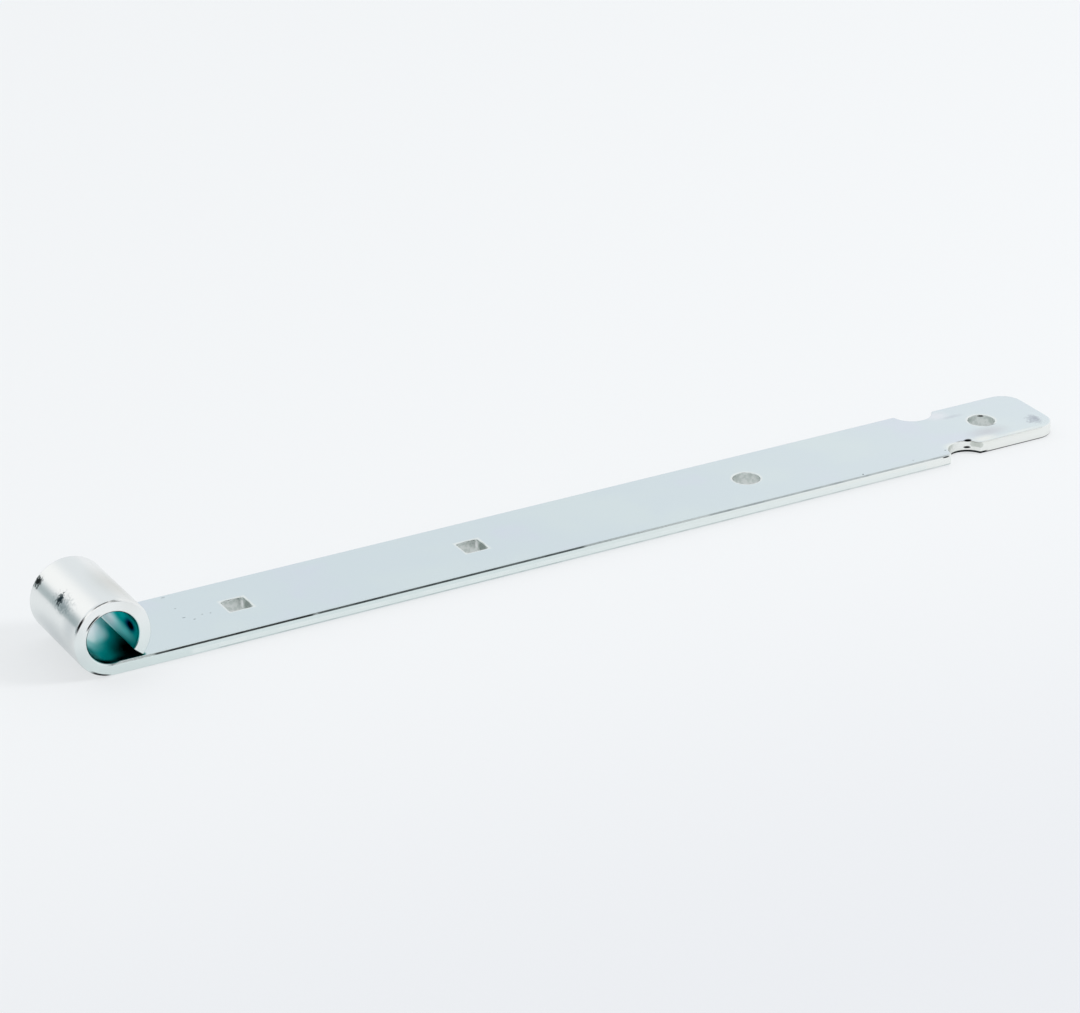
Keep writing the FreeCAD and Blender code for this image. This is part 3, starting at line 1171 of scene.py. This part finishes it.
@dataclass(frozen=True)
class Patch:
    """A soft-edged window of the surroundings that is brighter or darker than the rest.

    Its limits are on the unit direction's three parts. Along each axis the window is full out
    to the first reach from its middle and gone at the second.
    """

    middle: tuple[float, float, float]
    full: tuple[float, float, float]
    gone: tuple[float, float, float]
    colour: str
    strength: float = 1.0


@dataclass(frozen=True)
class SoftLamp:
    """A round soft lamp, low on the right, so that the eye shades the paper to its left."""

    across: float = 0.8
    power: float = 31.0
    azimuth_deg: float = 120.0
    elevation_deg: float = 35.0
    distance: float = 3.0


@dataclass(frozen=True)
class Viewpoint:
    """The camera as solved from the photograph, with its focal length in photo pixels."""

    place_mm: tuple[float, float, float] = (-456.07, -1141.24, 612.45)
    aim_mm: tuple[float, float, float] = (178.7, 0.5, -0.6)
    roll_deg: float = -0.4226
    focal_px: float = 3941.2
    sensor_mm: float = 36.0
    nearest: float = 0.05
    farthest: float = 60.0


@dataclass
class Studio:
    """A white studio: paper floor, pale surroundings, a soft lamp and the camera."""

    floor_height: float
    floor_size: float = 12.0
    surroundings: str = "#EEF2F5"
    background: str = "#F3F5F7"
    lamp: SoftLamp = SoftLamp()
    view: Viewpoint = Viewpoint()
    patches: tuple[Patch, ...] = (
        Patch((0.95, 0, 0.4), (0.33, 2, 0.3), (0.53, 3, 0.6), "#FCFDFF"),
        Patch((-0.31, 1, 0.46), (0.1, 1, 0.09), (0.5, 1.3, 0.3), "#FFFFFF", 1.07),
        Patch((-0.8, 1, 0.1), (0.3, 1, 0.04), (0.55, 1.3, 0.25), "#AFBBBE"),
        Patch((-0.25, -1, 0.38), (0.68, 0.65, 0.45), (0.73, 0.8, 0.58), "#060F10"),
        Patch((-0.44, -0.75, 0.4), (0.17, 0.6, 0.4), (0.25, 0.7, 0.5), "#FFFFFF"),
        Patch((-0.02, -0.9, 0.2), (0.355, 0.6, 0.28), (0.38, 0.7, 0.34), "#FFFFFF"),
        Patch((0.3, -0.9, 0.4), (0.035, 0.65, 0.6), (0.06, 0.75, 0.7), "#FFFFFF"),
    )

    def build(self) -> None:
        """Make the floor, the surroundings, the lamp and the camera."""
        self._lay_floor()
        self._light_world()
        self._hang_lamp()
        self._set_camera()

    def _lay_floor(self) -> None:
        """Lay the paper just under the band."""
        mesh = bpy.data.meshes.new("paper_floor")
        bm = bmesh.new()
        bmesh.ops.create_grid(bm, x_segments=1, y_segments=1, size=self.floor_size / 2)
        bmesh.ops.translate(bm, verts=bm.verts[:], vec=(0, 0, self.floor_height))
        bm.to_mesh(mesh)
        bm.free()
        floor = bpy.data.objects.new("paper_floor", mesh)
        mesh.materials.append(WhitePaper().material())
        bpy.context.scene.collection.objects.link(floor)

    def _light_world(self) -> None:
        """Light the band evenly from all round, with the patches that its metal mirrors."""
        world = bpy.data.worlds.new("white_studio")
        bpy.context.scene.world = world
        world.use_nodes = True
        shading = Shading(world.node_tree)
        toward = shading.add("ShaderNodeTexCoord", {}, "Generated")
        axes = shading.add("ShaderNodeSeparateXYZ", {0: toward}).node.outputs
        light = linear_colour(self.surroundings)
        for patch in self.patches:
            share = self._patch_share(shading, axes, patch)
            colour = Vector(linear_colour(patch.colour)[:3]) * patch.strength
            light = shading.add(
                "ShaderNodeMix", {"Factor": share, "A": light, "B": (*colour, 1.0)}, **MIX_COLOURS
            )
        around = shading.add("ShaderNodeBackground", {"Color": light, "Strength": 1.0})
        behind = shading.add(
            "ShaderNodeBackground", {"Color": linear_colour(self.background), "Strength": 1.0}
        )
        seen = shading.add("ShaderNodeLightPath", {}, "Is Camera Ray")
        both = shading.add("ShaderNodeMixShader", {0: seen, 1: around, 2: behind})
        shading.add("ShaderNodeOutputWorld", {"Surface": both})

    def _patch_share(
        self, shading: Shading, axes: bpy.types.NodeOutputs, patch: Patch
    ) -> Socket:
        """Measure how much of a direction a patch covers.

        Args:
            shading: The world's node tree.
            axes: The three parts of the direction that is looked in.
            patch: The patch.

        Returns:
            The patch's share.
        """
        limits = []
        for axis, middle, full, gone in zip(axes, patch.middle, patch.full, patch.gone):
            apart = shading.add("ShaderNodeMath", {0: axis, 1: middle}, operation="SUBTRACT")
            apart = shading.add("ShaderNodeMath", {0: apart}, operation="ABSOLUTE")
            limits.append((apart, gone, full))
        return shading.within(limits)

    def _hang_lamp(self) -> None:
        """Hang the soft lamp."""
        lamp = bpy.data.lights.new("soft_lamp", "AREA")
        lamp.shape = "DISK"
        lamp.size = self.lamp.across
        lamp.energy = self.lamp.power
        holder = bpy.data.objects.new("soft_lamp", lamp)
        holder.visible_glossy = False
        toward = direction(self.lamp.azimuth_deg, self.lamp.elevation_deg)
        holder.location = toward * self.lamp.distance
        holder.rotation_mode = "QUATERNION"
        holder.rotation_quaternion = toward.to_track_quat("Z", "Y")
        bpy.context.scene.collection.objects.link(holder)

    def _set_camera(self) -> None:
        """Place the camera at the photograph's viewpoint."""
        view = self.view
        camera = bpy.data.cameras.new("camera")
        camera.sensor_width = view.sensor_mm
        camera.lens = view.focal_px * view.sensor_mm / PHOTO_WIDTH_PX
        camera.clip_start = view.nearest
        camera.clip_end = view.farthest
        holder = bpy.data.objects.new("camera", camera)
        aim, place = Vector(view.aim_mm) * MM, Vector(view.place_mm) * MM
        holder.location = place
        holder.rotation_mode = "QUATERNION"
        level = (aim - place).to_track_quat("-Z", "Y").to_matrix()
        roll = Matrix.Rotation(math.radians(view.roll_deg), 3, "Z")
        holder.rotation_quaternion = (level @ roll).to_quaternion()
        bpy.context.scene.collection.objects.link(holder)
        bpy.context.scene.camera = holder


def main() -> None:
    """Build the band, dress it and set up the studio."""
    logging.basicConfig(level=logging.INFO, format="%(message)s")
    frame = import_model()
    sizes = BandSizes.from_frame(frame["record"])

    band = BandMesh(sizes).build()
    band.data.materials.append(ZincPlate(sizes).material())
    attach(band, BODY)
    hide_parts(NODE)
    log.info("%s: %d faces", band.name, len(band.data.polygons))

    Studio(floor_height=-sizes.eye_radius - FLOOR_GAP).build()
    bpy.context.scene.view_settings.view_transform = "Standard"


if __name__ == "__main__":
    main()
